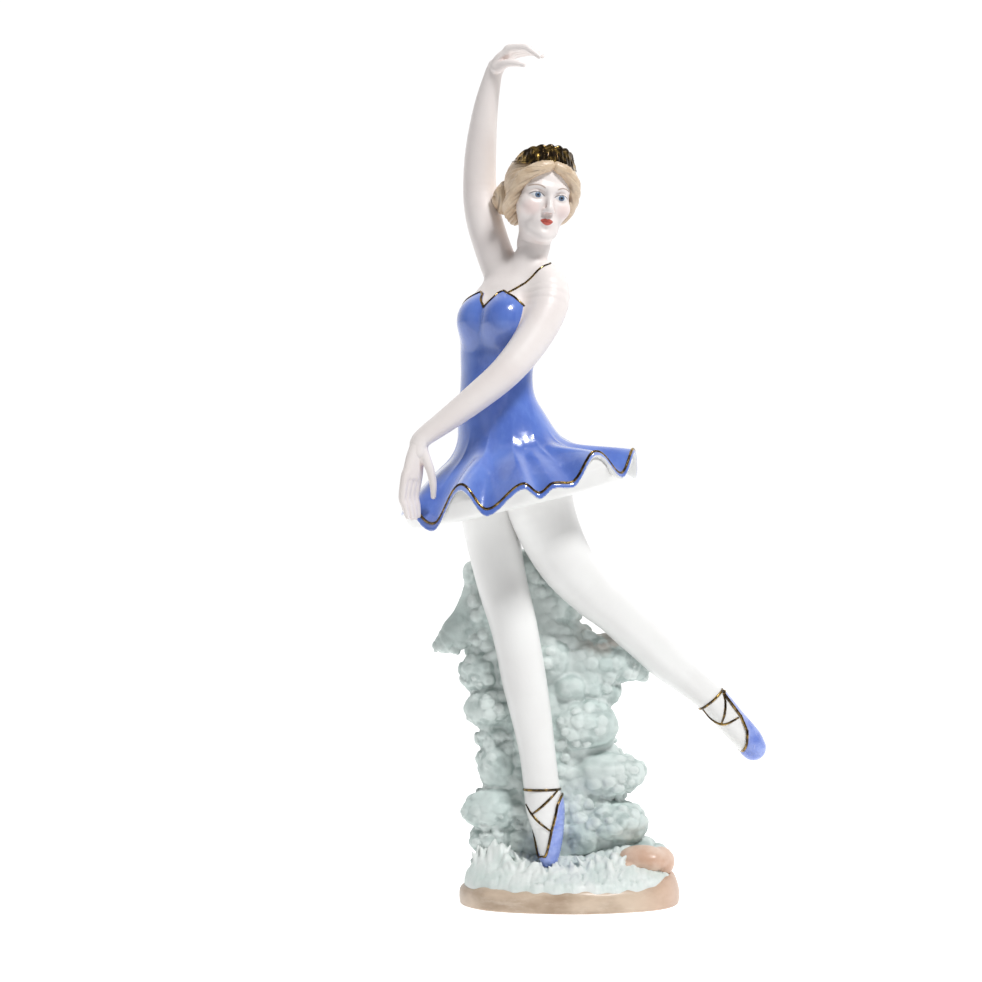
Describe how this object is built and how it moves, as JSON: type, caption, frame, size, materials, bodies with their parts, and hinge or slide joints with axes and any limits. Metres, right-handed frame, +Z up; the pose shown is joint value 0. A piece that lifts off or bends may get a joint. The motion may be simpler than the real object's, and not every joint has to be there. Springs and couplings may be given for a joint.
{
  "type": "porcelain figurine",
  "caption": "Glazed porcelain figurine of a ballet dancer in a short fluted blue dress, on tiptoe before a pale green rock on an oval base",
  "frame": {"origin": "middle of the base's flat underside, on the surface it stands on", "axes": "+Z up along the dancer; -Y is the front, the way the dancer faces; +X is towards the raised leg"},
  "size_m": [0.1276, 0.0693, 0.2958],
  "materials": {
    "skin_bisque": "satin",
    "tights_white": "satin",
    "dress_blue": "gloss",
    "slipper_blue": "gloss",
    "hair_blonde": "satin",
    "gold": "gilded gloss",
    "rock_green": "matte",
    "grass_green": "matte",
    "stone_peach": "matte",
    "base_tan": "satin"
  },
  "bodies": {
    "root": {"base_plinth": "base_tan", "grass_mound": "grass_green", "side_stone": "stone_peach", "rock_pillar": "rock_green", "rock_left_spur": "rock_green", "rock_right_ledge": "rock_green", "rock_right_shelf": "rock_green", "standing_leg": "tights_white", "standing_slipper": "slipper_blue", "raised_leg": "tights_white", "raised_slipper": "slipper_blue", "hips": "tights_white", "petticoat": "tights_white", "skirt": "dress_blue", "bodice": "dress_blue", "shoulders": "skin_bisque", "head": "skin_bisque", "hair": "hair_blonde", "hair_bun": "hair_blonde", "tiara": "gold", "raised_arm": "skin_bisque", "raised_hand": "skin_bisque", "lowered_arm": "skin_bisque", "lowered_hand": "skin_bisque"}
  },
  "joints": []
}
